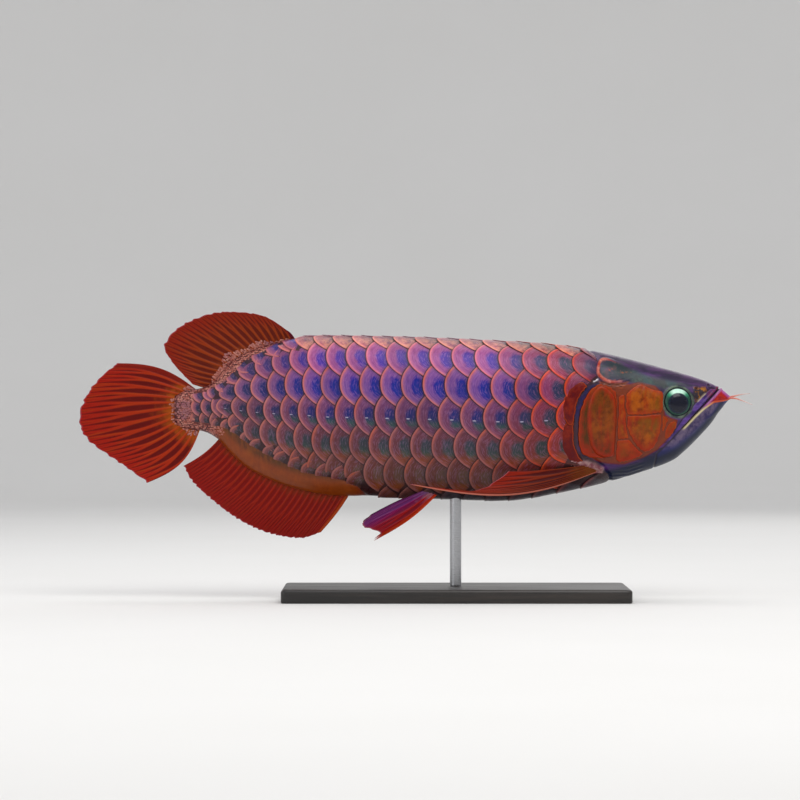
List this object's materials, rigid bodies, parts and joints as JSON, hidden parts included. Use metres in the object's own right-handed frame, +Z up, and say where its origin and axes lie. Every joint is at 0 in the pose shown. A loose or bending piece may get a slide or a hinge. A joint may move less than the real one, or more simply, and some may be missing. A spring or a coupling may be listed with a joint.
{
  "type": "asian arowana",
  "caption": "Long, deep-bodied fish with large scales, rear-set fan fins, an upturned mouth and chin barbels, held over a flat base by a rod.",
  "frame": {"origin": "centre of the stand base's underside", "axes": "+X from the tail to the snout, +Y to the fish's left, +Z up"},
  "size_m": [0.5851, 0.1324, 0.2507],
  "materials": {
    "scales": "glossy scales, mauve and blue-violet with orange-pink rims",
    "head": "glossy bony skin, dark above, orange-brown on the cheeks",
    "jaw": "glossy bony skin, blue-violet",
    "gill": "glossy plate, orange-brown with red edges",
    "eye": "wet, dark pupil in a green metallic iris",
    "barbel": "moist skin, pink",
    "fin": "deep red membrane with brighter rays",
    "stand_base": "black-stained, satin",
    "stand_rod": "brushed"
  },
  "bodies": {
    "root": {"head": "head", "lower_jaw": "jaw", "gill_cover_right": "gill", "gill_cover_left": "gill", "eye_right": "eye", "eye_left": "eye", "barbel_right": "barbel", "barbel_left": "barbel", "trunk": "scales", "tail": "scales", "tail_root": "scales", "dorsal_fin": "fin", "anal_fin": "fin", "tail_fin": "fin", "pectoral_fin_right": "fin", "pectoral_fin_left": "fin", "pelvic_fin_right": "fin", "pelvic_fin_left": "fin", "stand_base": "stand_base", "stand_rod": "stand_rod"}
  },
  "joints": []
}
